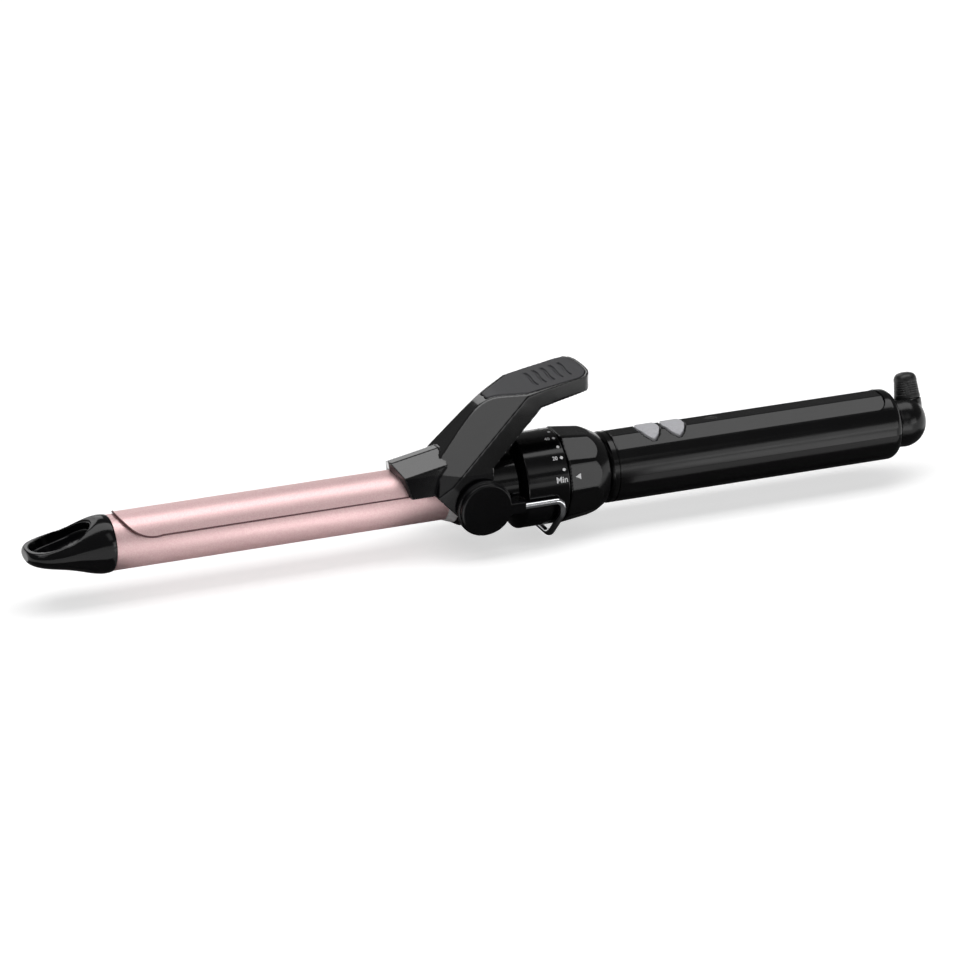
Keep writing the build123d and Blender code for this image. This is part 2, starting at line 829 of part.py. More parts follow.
def handle_half(upper):
    """One plain shell: the upper one lies above the parting line, the lower one below."""
    with BuildPart() as half:
        with BuildSketch(cross_plane(shell_front)):
            add(handle_section())
        extrude(amount=handle_end - shell_front)
        with BuildSketch(side_plane):
            with BuildLine():
                nose = Line(
                    (handle_end - handle_end_round, handle_radius),
                    (handle_end - handle_end_round, 2 * handle_radius),
                )
                bend = RadiusArc(
                    nose @ 0,
                    (handle_end, handle_radius - handle_end_round),
                    handle_end_round,
                )
                Polyline(
                    bend @ 1,
                    (handle_end + handle_end_round, handle_radius - handle_end_round),
                    (handle_end + handle_end_round, 2 * handle_radius),
                    nose @ 1,
                )
            make_face()
        revolve(axis=iron_axis, mode=Mode.SUBTRACT)
        with BuildSketch(side_plane):
            Polygon(
                (shell_front, handle_radius - handle_chamfer),
                (shell_front + handle_chamfer, handle_radius),
                (shell_front + handle_chamfer, 2 * handle_radius),
                (shell_front, 2 * handle_radius),
                align=None,
            )
        revolve(axis=iron_axis, mode=Mode.SUBTRACT)
        with BuildSketch(side_plane):
            Polygon(
                (shell_front + ring_length, handle_radius - ring_groove_depth),
                (shell_front + ring_length, 2 * handle_radius),
                (shell_front + ring_length + ring_groove_width, 2 * handle_radius),
                (shell_front + ring_length + ring_groove_width, handle_radius - ring_groove_depth),
                align=None,
            )
        revolve(axis=iron_axis, mode=Mode.SUBTRACT)
        with BuildSketch(side_plane):
            Polygon(
                (shell_front, 0),
                (shell_front, spigot_radius + fixed_gap),
                (spigot_end + fixed_gap, spigot_radius + fixed_gap),
                (spigot_end + fixed_gap, handle_cavity),
                (cavity_end, handle_cavity),
                (cavity_end, swivel_stem_radius + running_gap),
                (handle_end, swivel_stem_radius + running_gap),
                (handle_end, 0),
                align=None,
            )
        revolve(axis=iron_axis, mode=Mode.SUBTRACT)
        parting = plan_plane.offset(parting_gap / 2 if upper else -parting_gap / 2)
        split(bisect_by=parting, keep=Keep.TOP if upper else Keep.BOTTOM)
    return half


# Screws that close the handle from below, sunk in the lower shell and biting in posts of the upper one
screw_front_run = 34.0
screw_end_run = 23.6
screw_diameter = 2.6
screw_head_diameter = 4.6
screw_head_height = 1.6
screw_boss_diameter = 6.0
screw_sink = 4.5
screw_bite = 6.0
screw_xs = (handle_front + screw_front_run, handle_end - screw_end_run)
screw_seat = -handle_radius + screw_sink

# Almond keys along the top, and the window behind them
key_length = 13.0
key_width = 8.0
key_first = 18.0
key_pitch = 9.5
key_proud = 0.35
key_travel = 0.5
key_base = 7.6
key_xs = (handle_front + key_first, handle_front + key_first + key_pitch)
lens_run = 42.0
lens_length = 4.0
lens_width = 1.8
lens_proud = 0.1
lens_depth = 3.2
lens_x = handle_front + lens_run


def almond(grow):
    """Key seen from above: two arcs that meet in points at the near and far ends."""
    half_length = key_length / 2 + grow * 2
    half_width = key_width / 2 + grow
    with BuildSketch() as outline:
        with BuildLine():
            ThreePointArc((0, -half_length), (half_width, 0), (0, half_length))
            ThreePointArc((0, half_length), (-half_width, 0), (0, -half_length))
        make_face()
    return outline.sketch


def key_plane(x):
    """Plane of the keys' outlines at the axis, for a key at x."""
    return Plane(origin=(x, 0, axis_height))


# Recess that the panel lies in
with BuildPart() as panel_recess:
    with BuildSketch(cross_plane(shell_front)):
        add(panel_section(fixed_gap))
    extrude(amount=handle_length)
    with BuildSketch(plan_plane):
        add(panel_plan(fixed_gap))
    extrude(amount=2 * handle_radius, mode=Mode.INTERSECT)

upper_half = handle_half(True)

with BuildPart() as handle_upper_shell:
    add(upper_half.part)
    for x in screw_xs:
        with BuildSketch(key_plane(x).offset(parting_gap)):
            Circle(screw_boss_diameter / 2)
        extrude(amount=handle_cavity)
        with BuildSketch(key_plane(x)):
            Circle(screw_diameter / 2 + fixed_gap / 2)
        extrude(amount=screw_bite + fixed_gap, mode=Mode.SUBTRACT)
    add(panel_recess.part, mode=Mode.SUBTRACT)
    for x in key_xs:
        with BuildSketch(key_plane(x)):
            add(almond(sliding_gap))
        extrude(amount=2 * handle_radius, mode=Mode.SUBTRACT)
    with BuildSketch(key_plane(lens_x)):
        SlotOverall(lens_length + 2 * fixed_gap, lens_width + 2 * fixed_gap)
    extrude(amount=2 * handle_radius, mode=Mode.SUBTRACT)

with BuildPart() as handle_panel:
    with BuildSketch(cross_plane(shell_front)):
        add(panel_section(0))
    extrude(amount=handle_length)
    with BuildSketch(plan_plane):
        add(panel_plan(0))
    extrude(amount=2 * handle_radius, mode=Mode.INTERSECT)
    for x in key_xs:
        with BuildSketch(key_plane(x)):
            add(almond(sliding_gap))
        extrude(amount=2 * handle_radius, mode=Mode.SUBTRACT)
    with BuildSketch(key_plane(lens_x)):
        SlotOverall(lens_length + 2 * fixed_gap, lens_width + 2 * fixed_gap)
    extrude(amount=2 * handle_radius, mode=Mode.SUBTRACT)


def build_key(x):
    """One key: an almond post whose top follows the panel's facets, a little proud of them."""
    with BuildPart() as key:
        with BuildSketch(key_plane(x).offset(key_base)):
            add(almond(0))
        extrude(amount=handle_radius)
        proud_radius = handle_radius + key_proud
        with BuildSketch(cross_plane(x - key_width)):
            Polygon(
                polar(proud_radius, -panel_edge_angle),
                polar(proud_radius, -panel_ridge_angle),
                polar(proud_radius, panel_ridge_angle),
                polar(proud_radius, panel_edge_angle),
                (0, 0),
                align=None,
            )
        extrude(amount=2 * key_width, mode=Mode.INTERSECT)
    return key


button_on = build_key(key_xs[0])
button_off = build_key(key_xs[1])

panel_top = handle_radius * cos(radians(panel_ridge_angle))

with BuildPart() as indicator_lens:
    with BuildSketch(key_plane(lens_x).offset(panel_top + lens_proud)):
        SlotOverall(lens_length, lens_width)
    extrude(amount=-lens_depth)

# Control board: lies on ledges of the lower shell, and carries the switches, the lamp and the power parts
board_front_run = 13.0
board_end_run = 32.6
board_width = 17.0
board_thickness = 1.6
board_top = 4.0
ledge_inset = 8.0
ledge_length = 3.0
ledge_width = 2.4
ledge_offset = 7.4
board_front = handle_front + board_front_run
board_back = handle_end - board_end_run
board_length = board_back - board_front
board_bottom = board_top - board_thickness

lower_half = handle_half(False)

with BuildPart() as handle_lower_shell:
    add(lower_half.part)
    for x in screw_xs:
        with BuildSketch(key_plane(x).offset(-handle_cavity - handle_wall / 2)):
            Circle(screw_boss_diameter / 2)
        extrude(amount=handle_cavity + handle_wall / 2 - parting_gap)
        with BuildSketch(key_plane(x)):
            Circle(screw_diameter / 2 + fixed_gap)
        extrude(amount=-2 * handle_radius, mode=Mode.SUBTRACT)
        with BuildSketch(key_plane(x).offset(screw_seat)):
            Circle(screw_head_diameter / 2 + fixed_gap)
        extrude(amount=-2 * handle_radius, mode=Mode.SUBTRACT)
    with BuildSketch(plan_plane.offset(board_bottom)):
        for x in (board_front + ledge_inset, board_back - ledge_inset):
            with Locations((x, -ledge_offset), (x, ledge_offset)):
                Rectangle(ledge_length, ledge_width)
    extrude(amount=-board_bottom - sqrt(handle_cavity**2 - (ledge_offset - ledge_width / 2) ** 2))

with BuildPart() as handle_screws:
    for x in screw_xs:
        with BuildSketch(key_plane(x).offset(screw_seat)):
            Circle(screw_head_diameter / 2)
        extrude(amount=-screw_head_height)
        with BuildSketch(key_plane(x).offset(screw_seat)):
            Circle(screw_diameter / 2)
        extrude(amount=screw_bite - screw_seat)

with BuildPart() as control_board:
    with BuildSketch(plan_plane.offset(board_bottom)):
        with Locations(((board_front + board_back) / 2, 0)):
            Rectangle(board_length, board_width)
        with Locations((screw_xs[0], 0)):
            Circle(screw_boss_diameter / 2 + sliding_gap, mode=Mode.SUBTRACT)
    extrude(amount=board_thickness)

switch_size = 6.0
switch_plunger_diameter = 3.2
switch_body_height = 2.2
switch_top = key_base - key_travel - fixed_gap

with BuildPart() as tact_switches:
    for x in key_xs:
        with BuildSketch(key_plane(x).offset(board_top)):
            RectangleRounded(switch_size, switch_size, switch_size / 10)
        extrude(amount=switch_body_height)
        with BuildSketch(key_plane(x).offset(board_top)):
            Circle(switch_plunger_diameter / 2)
        extrude(amount=switch_top - board_top)

lamp_diameter = 3.0
lens_bottom = panel_top + lens_proud - lens_depth

with BuildPart() as indicator_led:
    with BuildSketch(key_plane(lens_x).offset(board_top)):
        Circle(lamp_diameter / 2)
    extrude(amount=lens_bottom - fixed_gap - board_top)
    fillet(indicator_led.faces().sort_by(Axis.Z)[-1].edges(), lamp_diameter / 3)

capacitor_size = (12.0, 7.0, 4.2)
capacitor_run = 17.0
triac_size = (4.5, 9.0, 3.6)
triac_run = 5.0
triac_tab = (1.2, 7.0)

with BuildPart() as film_capacitor:
    with BuildSketch(key_plane(board_back - capacitor_run).offset(board_top)):
        RectangleRounded(capacitor_size[0], capacitor_size[1], capacitor_size[2] / 6)
    extrude(amount=capacitor_size[2])

with BuildPart() as power_triac:
    with BuildSketch(key_plane(board_back - triac_run).offset(board_top)):
        Rectangle(triac_size[0], triac_size[1])
    extrude(amount=triac_size[2])
    tab_x = board_back - triac_run + (triac_size[0] - triac_tab[0]) / 2
    with BuildSketch(key_plane(tab_x).offset(board_top)):
        Rectangle(triac_tab[0], triac_tab[1])
    extrude(amount=triac_size[2] + triac_tab[0])

# Heater: a ceramic bar in an insulating sleeve between two half-round aluminium spreaders inside the barrel
heater_gap = 2.0
heater_length = 80.0
ceramic_width = 9.0
ceramic_thickness = 2.4
ceramic_inset = 2.0
sleeve_wall = 0.3
fuse_diameter = 3.6
fuse_length = 11.0
sensor_diameter = 2.4
sensor_length = 6.0
heater_front = tip_seam + tip_plug_length + heater_gap
heater_back = heater_front + heater_length
spreader_radius = barrel_bore - fixed_gap
insulation_width = ceramic_width + 2 * (sleeve_wall + fixed_gap)
insulation_height = ceramic_thickness + 2 * (sleeve_wall + fixed_gap)
fuse_height = -spreader_radius + fuse_diameter / 2 + fixed_gap
sensor_height = spreader_radius - sensor_diameter / 2 - fixed_gap


def build_spreader(side, notch_width, notch_length, notch_depth):
    """One half-round spreader: side +1 above the bar, -1 below, with an open notch at its cord end."""
    with BuildPart() as spreader:
        with BuildSketch(cross_plane(heater_front)):
            Circle(spreader_radius)
            with Locations((0, side * (insulation_height / 2 + fixed_gap / 2 - spreader_radius))):
                Rectangle(2 * spreader_radius, 2 * spreader_radius, mode=Mode.SUBTRACT)
        extrude(amount=heater_length)
        with BuildSketch(cross_plane(heater_back)):
            with Locations((0, side * spreader_radius)):
                Rectangle(notch_width, 2 * notch_depth)
        extrude(amount=-notch_length, mode=Mode.SUBTRACT)
    return spreader


sensor_notch = sensor_diameter + 2 * fixed_gap
fuse_notch = fuse_diameter + 2 * fixed_gap
heater_half_upper = build_spreader(1, sensor_diameter + fixed_gap, sensor_length, sensor_notch)
heater_half_lower = build_spreader(-1, fuse_diameter + fixed_gap, fuse_length, fuse_notch)

with BuildPart() as heater_insulation:
    with BuildSketch(cross_plane(heater_front)):
        Rectangle(insulation_width, insulation_height)
        Rectangle(
            ceramic_width + 2 * fixed_gap,
            ceramic_thickness + 2 * fixed_gap,
            mode=Mode.SUBTRACT,
        )
    extrude(amount=heater_length)

with BuildPart() as ptc_heater:
    with BuildSketch(cross_plane(heater_front + ceramic_inset)):
        Rectangle(ceramic_width, ceramic_thickness)
    extrude(amount=heater_length - 2 * ceramic_inset)

with BuildPart() as thermal_fuse:
    with BuildSketch(cross_plane(heater_back - fuse_length + fixed_gap)):
        with Locations((0, fuse_height)):
            Circle(fuse_diameter / 2)
    extrude(amount=fuse_length - 2 * fixed_gap)

with BuildPart() as temperature_sensor:
    with BuildSketch(cross_plane(heater_back - sensor_length + fixed_gap)):
        with Locations((0, sensor_height)):
            Circle(sensor_diameter / 2)
    extrude(amount=sensor_length - 2 * fixed_gap)

# Leads: heater to board through the neck, and swivel contacts to board
lead_diameter = 1.4
heater_lead_offset = 2.5
lead_step_run = 14.0
lead_bend = 8.0
supply_lead_offset = 7.0
lead_height = board_top - board_thickness / 2
ceramic_back = heater_back - ceramic_inset

with BuildPart() as heater_leads:
    for side in (-1, 1):
        with BuildLine() as lead_path:
            FilletPolyline(
                (ceramic_back, side * heater_lead_offset, axis_height),
                (ceramic_back + lead_step_run, side * heater_lead_offset, axis_height),
                (ceramic_back + 2 * lead_step_run, side * heater_lead_offset, axis_height + lead_height),
                (board_front, side * heater_lead_offset, axis_height + lead_height),
                radius=lead_bend,
            )
        with BuildSketch(cross_plane(ceramic_back)):
            with Locations((side * heater_lead_offset, 0)):
                Circle(lead_diameter / 2)
        sweep(path=lead_path.line)

# Swivel: turns in the handle's end wall, with slip rings on its stem and a flat seat for the strain relief
swivel_flange_radius = 7.8
swivel_flange_length = 2.4
contact_stem_radius = 4.4
contact_stem_length = 11.0
ring_radius = 5.0
ring_width = 2.0
ring_runs = (3.0, 7.0)
swivel_base_radius = 8.8
swivel_waist_run = 3.0
swivel_waist_radius = 9.0
swivel_dome_run = 10.2
swivel_dome_radius = 6.7
swivel_nose_radius = 2.5
relief_run = 7.6
relief_lean = 18.0
relief_seat = 7.8
relief_plug_diameter = 7.0
relief_plug_length = 4.5
wire_way_diameter = 4.0
stem_front = cavity_end - sliding_gap - swivel_flange_length - contact_stem_length
flange_front = cavity_end - sliding_gap - swivel_flange_length
relief_x = handle_end + relief_run
relief_dir = Vector(0, sin(radians(relief_lean)), cos(radians(relief_lean)))
relief_plane = Plane(
    origin=Vector(relief_x, 0, axis_height) + relief_dir * relief_seat,
    x_dir=(1, 0, 0),
    z_dir=relief_dir,
)

with BuildPart() as swivel_body:
    with BuildSketch(side_plane):
        with BuildLine():
            base = Line(
                (handle_end + seam_gap, swivel_base_radius),
                (handle_end + swivel_waist_run, swivel_waist_radius),
            )
            dome = ThreePointArc(
                base @ 1,
                (handle_end + swivel_dome_run, swivel_dome_radius),
                (swivel_end, swivel_nose_radius),
            )
            Polyline(
                dome @ 1,
                (swivel_end, 0),
                (stem_front, 0),
                (stem_front, contact_stem_radius),
                (flange_front, contact_stem_radius),
                (flange_front, swivel_flange_radius),
                (cavity_end - sliding_gap, swivel_flange_radius),
                (cavity_end - sliding_gap, swivel_stem_radius),
                (handle_end + seam_gap, swivel_stem_radius),
                base @ 0,
            )
        make_face()
    revolve(axis=iron_axis)
    with BuildSketch(relief_plane):
        Rectangle(4 * swivel_length, 4 * swivel_length)
    extrude(amount=swivel_length, mode=Mode.SUBTRACT)
    with BuildSketch(relief_plane):
        Circle(relief_plug_diameter / 2 + fixed_gap)
    extrude(amount=-relief_plug_length - fixed_gap, mode=Mode.SUBTRACT)
    with BuildSketch(cross_plane(stem_front)):
        Circle(wire_way_diameter / 2)
    extrude(amount=relief_x - stem_front, mode=Mode.SUBTRACT)

with BuildPart() as slip_rings:
    for run in ring_runs:
        with BuildSketch(cross_plane(stem_front + run - ring_width / 2)):
            Circle(ring_radius)
            Circle(contact_stem_radius + fixed_gap, mode=Mode.SUBTRACT)
        extrude(amount=ring_width)

# Strain relief: ribbed rubber sleeve on the swivel's seat, with the bore that grips the cord
relief_height = 9.0
relief_base_diameter = 9.3
relief_top_diameter = 7.6
relief_rib_count = 6
relief_groove_depth = 0.25
relief_foot = 1.4
relief_crown = 2.8
relief_crown_radius = 2.6
cord_bore_diameter = 5.4
rib_pitch = (relief_height - relief_foot - relief_crown) / relief_rib_count
relief_taper = (relief_base_diameter - relief_top_diameter) / 2 / relief_height

with BuildPart() as strain_relief:
    with BuildSketch(relief_plane.offset(-relief_plug_length)):
        Circle(relief_plug_diameter / 2)
    extrude(amount=relief_plug_length + relief_foot)
    with BuildSketch(relief_plane):
        Circle(relief_base_diameter / 2)
    extrude(amount=relief_height, taper=degrees(relief_taper))
    fillet(strain_relief.edges().sort_by(Axis((0, 0, 0), relief_dir))[-1], relief_crown_radius)
    for rib in range(relief_rib_count):
        groove = relief_foot + rib_pitch * rib
        groove_floor = relief_base_diameter / 2 - relief_taper * groove - relief_groove_depth
        with BuildSketch(relief_plane.offset(groove)):
            Circle(relief_base_diameter)
            Circle(groove_floor, mode=Mode.SUBTRACT)
        extrude(amount=rib_pitch / 2, mode=Mode.SUBTRACT)
    with BuildSketch(relief_plane.offset(-relief_plug_length)):
        Circle(cord_bore_diameter / 2)
    extrude(amount=relief_plug_length + relief_height, mode=Mode.SUBTRACT)

# Brush holder round the slip rings, its two brushes, and the supply leads to the board
holder_gap = 0.3
holder_bore = ring_radius + 1.2
brush_diameter = 1.8
brush_tail = 0.6
holder_front = stem_front + 1.0
holder_back = flange_front - sliding_gap

with BuildPart() as brush_holder:
    with BuildSketch(cross_plane(holder_front)):
        Circle(handle_cavity - holder_gap)
        Circle(holder_bore, mode=Mode.SUBTRACT)
    extrude(amount=holder_back - holder_front)
    for run, side in zip(ring_runs, (1, -1)):
        with BuildSketch(Plane(origin=(stem_front + run, 0, axis_height), z_dir=(0, 0, side))):
            Circle(brush_diameter / 2 + fixed_gap / 2)
        extrude(amount=handle_cavity, mode=Mode.SUBTRACT)

with BuildPart() as contact_brushes:
    for run, side in zip(ring_runs, (1, -1)):
        brush_foot = axis_height + side * (ring_radius + running_gap)
        with BuildSketch(Plane(origin=(stem_front + run, 0, brush_foot), z_dir=(0, 0, side))):
            Circle(brush_diameter / 2)
        extrude(amount=handle_cavity - holder_gap - brush_tail - ring_radius - running_gap)

with BuildPart() as supply_leads:
    with BuildSketch(cross_plane(board_back)):
        with Locations((-supply_lead_offset, lead_height), (supply_lead_offset, lead_height)):
            Circle(lead_diameter / 2)
    extrude(amount=holder_front - board_back)

nodes = {
    "cool_tip": cool_tip,
    "barrel_tube": barrel_tube,
    "hinge_housing": hinge_housing,
    "barrel_collar": barrel_collar,
    "clip_plate": clip_plate,
    "clip_rivets": clip_rivets,
    "clip_lever": clip_lever,
    "thumb_pad": thumb_pad,
    "pivot_pins": pivot_pins,
    "clip_springs": clip_springs,
    "stand_hub_near": stand_hub_near,
    "stand_hub_far": stand_hub_far,
    "stand_wire": stand_wire,
    "temperature_dial": temperature_dial,
    "track_board": track_board,
    "dial_wiper": dial_wiper,
    "handle_upper_shell": handle_upper_shell,
    "handle_lower_shell": handle_lower_shell,
    "handle_panel": handle_panel,
    "button_on": button_on,
    "button_off": button_off,
    "indicator_lens": indicator_lens,
    "handle_screws": handle_screws,
    "control_board": control_board,
    "tact_switches": tact_switches,
    "indicator_led": indicator_led,
    "film_capacitor": film_capacitor,
    "power_triac": power_triac,
    "heater_half_upper": heater_half_upper,
    "heater_half_lower": heater_half_lower,
    "heater_insulation": heater_insulation,
    "ptc_heater": ptc_heater,
    "thermal_fuse": thermal_fuse,
    "temperature_sensor": temperature_sensor,
    "heater_leads": heater_leads,
    "swivel_body": swivel_body,
    "slip_rings": slip_rings,
    "strain_relief": strain_relief,
    "brush_holder": brush_holder,
    "contact_brushes": contact_brushes,
    "supply_leads": supply_leads,
}
for name, piece in nodes.items():
    piece.part.label = name
    export_step(piece.part, f"parts/{name}.step")
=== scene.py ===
# Looks of a hair curling iron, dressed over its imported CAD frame. Metres; +X runs from the tip to
# the cord end, +Z is up, the near side is -Y. The sections follow the iron as it is put together.
import json
import math

import bpy
from mathutils import Matrix, Vector

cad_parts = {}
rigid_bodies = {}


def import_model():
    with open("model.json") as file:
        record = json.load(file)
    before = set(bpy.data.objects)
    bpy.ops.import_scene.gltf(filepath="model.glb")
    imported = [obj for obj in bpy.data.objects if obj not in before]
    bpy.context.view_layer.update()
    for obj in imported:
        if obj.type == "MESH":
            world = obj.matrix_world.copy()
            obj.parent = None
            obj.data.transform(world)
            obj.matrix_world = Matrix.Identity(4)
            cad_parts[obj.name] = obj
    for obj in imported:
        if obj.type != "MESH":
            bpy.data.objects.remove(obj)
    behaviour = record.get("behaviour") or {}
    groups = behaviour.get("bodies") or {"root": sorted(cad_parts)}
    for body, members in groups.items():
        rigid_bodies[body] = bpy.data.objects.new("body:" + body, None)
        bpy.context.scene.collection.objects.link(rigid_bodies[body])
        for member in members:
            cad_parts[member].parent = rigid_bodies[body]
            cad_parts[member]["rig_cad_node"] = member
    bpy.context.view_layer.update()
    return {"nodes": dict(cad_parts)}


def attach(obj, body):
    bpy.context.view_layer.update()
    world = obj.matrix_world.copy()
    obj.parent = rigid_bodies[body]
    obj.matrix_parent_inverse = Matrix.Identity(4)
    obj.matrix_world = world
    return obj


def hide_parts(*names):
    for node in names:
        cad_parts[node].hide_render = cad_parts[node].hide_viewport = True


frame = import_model()
nodes = frame["nodes"]
bpy.ops.object.select_all(action="DESELECT")
bpy.context.scene.view_settings.view_transform = "Standard"

# Camera of the photograph: a long lens from the near left, looking down a little on the hinge.
# The field and the aim are worked out from the iron's own proportions in the picture.
mm = 0.001
camera_aim = Vector((-2.35, 0.0, 21.88)) * mm
camera_azimuth = math.radians(-22.6)
camera_elevation = math.radians(21.6)
camera_distance, camera_sight = 2.05, 100.0
focal_pixels, picture_pixels = 6006.0, 960.0
sensor_width = 36.0
camera_back = Vector(
    (
        math.sin(camera_azimuth) * math.cos(camera_elevation),
        -math.cos(camera_azimuth) * math.cos(camera_elevation),
        math.sin(camera_elevation),
    )
)
bpy.ops.object.camera_add()
camera = bpy.context.object
camera.location = camera_aim + camera_back * camera_distance
camera.rotation_mode = "QUATERNION"
camera.rotation_quaternion = (-camera_back).to_track_quat("-Z", "Y")
camera.data.sensor_width = sensor_width
camera.data.lens = sensor_width * focal_pixels / picture_pixels
camera.data.clip_end = camera_sight
bpy.context.scene.camera = camera


# Studio: a white paper sweep turned up far out, a long softbox overhead and four smaller ones. The
# paper is lifted to white for what sees or mirrors it, and more where the lamps fade; it still takes
# the shadow. Cards on it show only in reflections, as painted shade and painted highlights: dark ones
# under tip, lever and handle, a pale one under the barrel, and glowing ones for light bands along
# barrel and handle.
def add_node(tree, kind, inputs=None, **settings):
    """Adds one shader node with its settings; an input is a value or another node's output."""
    made = tree.nodes.new(kind)
    for name, value in settings.items():
        setattr(made, name, value)
    for name, value in (inputs or {}).items():
        if isinstance(value, bpy.types.NodeSocket):
            tree.links.new(value, made.inputs[name])
        else:
            made.inputs[name].default_value = value
    return made


def linear(code):
    """An sRGB hex colour as linear RGBA."""
    parts = [int(code[i : i + 2], 16) / 255 for i in (1, 3, 5)]
    return (*[c / 12.92 if c <= 0.04045 else ((c + 0.055) / 1.055) ** 2.4 for c in parts], 1.0)


def start_finish(name):
    """A new material with its tree, its shader and the coordinates of the piece that wears it."""
    made = bpy.data.materials.new(name)
    made.use_nodes = True
    tree = made.node_tree
    place = add_node(tree, "ShaderNodeTexCoord").outputs["Object"]
    return made, tree, tree.nodes["Principled BSDF"], place


def paint(piece, material):
    """Gives a piece this material all over."""
    piece.data.materials.clear()
    piece.data.materials.append(material)


sweep_radius, sweep_rise, sweep_sides = 40.0, 5.0, 96
bpy.ops.mesh.primitive_circle_add(vertices=sweep_sides, radius=sweep_radius, fill_type="NGON")
floor = bpy.context.object
bpy.ops.object.mode_set(mode="EDIT")
bpy.ops.mesh.select_all(action="SELECT")
bpy.ops.mesh.region_to_loop()
bpy.ops.mesh.extrude_region_move(TRANSFORM_OT_translate={"value": (0, 0, sweep_rise)})
bpy.ops.object.mode_set(mode="OBJECT")
floor.name = "studio_sweep"

paper_mottle = 13 * mm
lift_near, lift_far = 0.58, 1.0
fade_start, fade_end = 0.8, 2.5
sweep_paper, tree, shader, place = start_finish("matte_white_sweep_paper")
tree.nodes.remove(shader)
paper_grain = add_node(
    tree,
    "ShaderNodeTexNoise",
    {"Vector": place, "Scale": 1 / paper_mottle, "Detail": 2.0},
)
paper_tone = add_node(
    tree,
    "ShaderNodeMix",
    {"Factor": paper_grain.outputs["Fac"], 6: linear("#cdcdcd"), 7: linear("#d4d4d4")},
    data_type="RGBA",
)
paper = add_node(tree, "ShaderNodeBsdfDiffuse", {"Color": paper_tone.outputs[2]})
ray = add_node(tree, "ShaderNodeLightPath")
seen = add_node(
    tree,
    "ShaderNodeMath",
    {0: ray.outputs["Is Camera Ray"], 1: ray.outputs["Is Glossy Ray"]},
    operation="MAXIMUM",
)
seen = add_node(
    tree,
    "ShaderNodeMath",
    {0: seen.outputs[0], 1: ray.outputs["Is Transmission Ray"]},
    operation="MAXIMUM",
)
reach = add_node(tree, "ShaderNodeVectorMath", {0: place}, operation="LENGTH")
white = add_node(
    tree,
    "ShaderNodeMapRange",
    {
        "Value": reach.outputs["Value"],
        "From Min": fade_start,
        "From Max": fade_end,
        "To Min": lift_near,
        "To Max": lift_far,
    },
)
lift = add_node(
    tree,
    "ShaderNodeMath",
    {0: seen.outputs[0], 1: white.outputs[0]},
    operation="MULTIPLY",
)
glow = add_node(
    tree,
    "ShaderNodeEmission",
    {"Color": linear("#ffffff"), "Strength": lift.outputs[0]},
)
both = add_node(tree, "ShaderNodeAddShader", {0: paper.outputs[0], 1: glow.outputs[0]})
tree.links.new(both.outputs[0], tree.nodes["Material Output"].inputs["Surface"])
paint(floor, sweep_paper)

along_view = -camera_azimuth
# Card tones, seen only in reflections: the dark ones paint shade, the pale and white ones paint
# highlights.
shade_card_tones, pale_reflection_tones, glow_card_tones = ("#585858", "#646464"), ("#d6d6d6", "#e0e0e0"), ("#f0f0f0", "#ffffff")
cards = (
    ("tip_shade_card", (-0.164, 0.0, 0.0003), 0, (0.072, 0.06, 0), shade_card_tones, 0.0),
    ("barrel_reflection_card", (-0.074, 0.0, 0.0003), 0, (0.108, 0.06, 0), pale_reflection_tones, 0.05),
    ("lever_shade_card", (0.085, -0.19, 0.0004), along_view, (0.075, 0.48, 0), shade_card_tones, 0.0),
    ("handle_shade_card", (0.115, 0.0, 0.0003), 0, (0.17, 0.06, 0), shade_card_tones, 0.0),
    ("barrel_glow_card", (-0.047, -0.098, 0.0003), along_view, (0.08, 0.114, 0), glow_card_tones, 1.5),
    ("handle_glow_card", (0.244, -0.335, 0.0003), along_view, (0.1, 0.574, 0), glow_card_tones, 1.9),
)
reflection_mottle_size = 0.5 * mm
# Each card is painted shade or a painted highlight that shows only in glossy reflections; the glow is no
# lamp.
for name, spot, turn, size, (reflected_low, reflected_high), painted_glow in cards:
    bpy.ops.mesh.primitive_plane_add(size=1.0, location=spot, rotation=(0, 0, turn))
    card = bpy.context.object
    card.name = name
    card.dimensions = size
    card.visible_camera = False
    card.visible_diffuse = False
    card.visible_transmission = False
    card.visible_shadow = False
    reflection_card_finish, tree, shader, place = start_finish("painted_reflection_" + name)
    reflection_mottle = add_node(tree, "ShaderNodeTexNoise", {"Vector": place, "Scale": 1 / reflection_mottle_size})
    painted_reflection_tone = add_node(
        tree,
        "ShaderNodeMix",
        {"Factor": reflection_mottle.outputs["Fac"], 6: linear(reflected_low), 7: linear(reflected_high)},
        data_type="RGBA",
    )
    tree.links.new(painted_reflection_tone.outputs[2], shader.inputs["Base Color"])
    shader.inputs["Roughness"].default_value = 1.0
    shader.inputs["Emission Strength"].default_value = painted_glow
    paint(card, reflection_card_finish)

room_light = 0.16
world = bpy.data.worlds.new("studio_room")
bpy.context.scene.world = world
world.use_nodes = True
world.node_tree.nodes["Background"].inputs["Color"].default_value = linear("#ffffff")
world.node_tree.nodes["Background"].inputs["Strength"].default_value = room_light

softboxes = (
    ("overhead_softbox", (0.12, 0.0, 1.2), (0, 0, 0), (2.0, 0.7), 12.0),
    ("front_softbox", (1.01, -1.305, 0.3), (84, 0, 31), (0.83, 0.5), 2.6),
    ("left_softbox", (-0.68, -0.44, 1.0), (30, 0, -56), (0.5, 0.5), 0.8),
    ("barrel_softbox", (0.33, -0.88, 0.85), (49, 0, 25), (0.26, 0.6), 0.45),
    ("back_softbox", (0.02, 1.5, 0.95), (-54, 0, 0), (0.9, 0.9), 4.4),
)
for name, spot, turn, size, watts in softboxes:
    aim = [math.radians(angle) for angle in turn]
    bpy.ops.object.light_add(type="AREA", location=spot, rotation=aim)
    lamp = bpy.context.object
    lamp.name = name
    lamp.data.shape = "RECTANGLE"
    lamp.data.size, lamp.data.size_y = size
    lamp.data.energy = watts


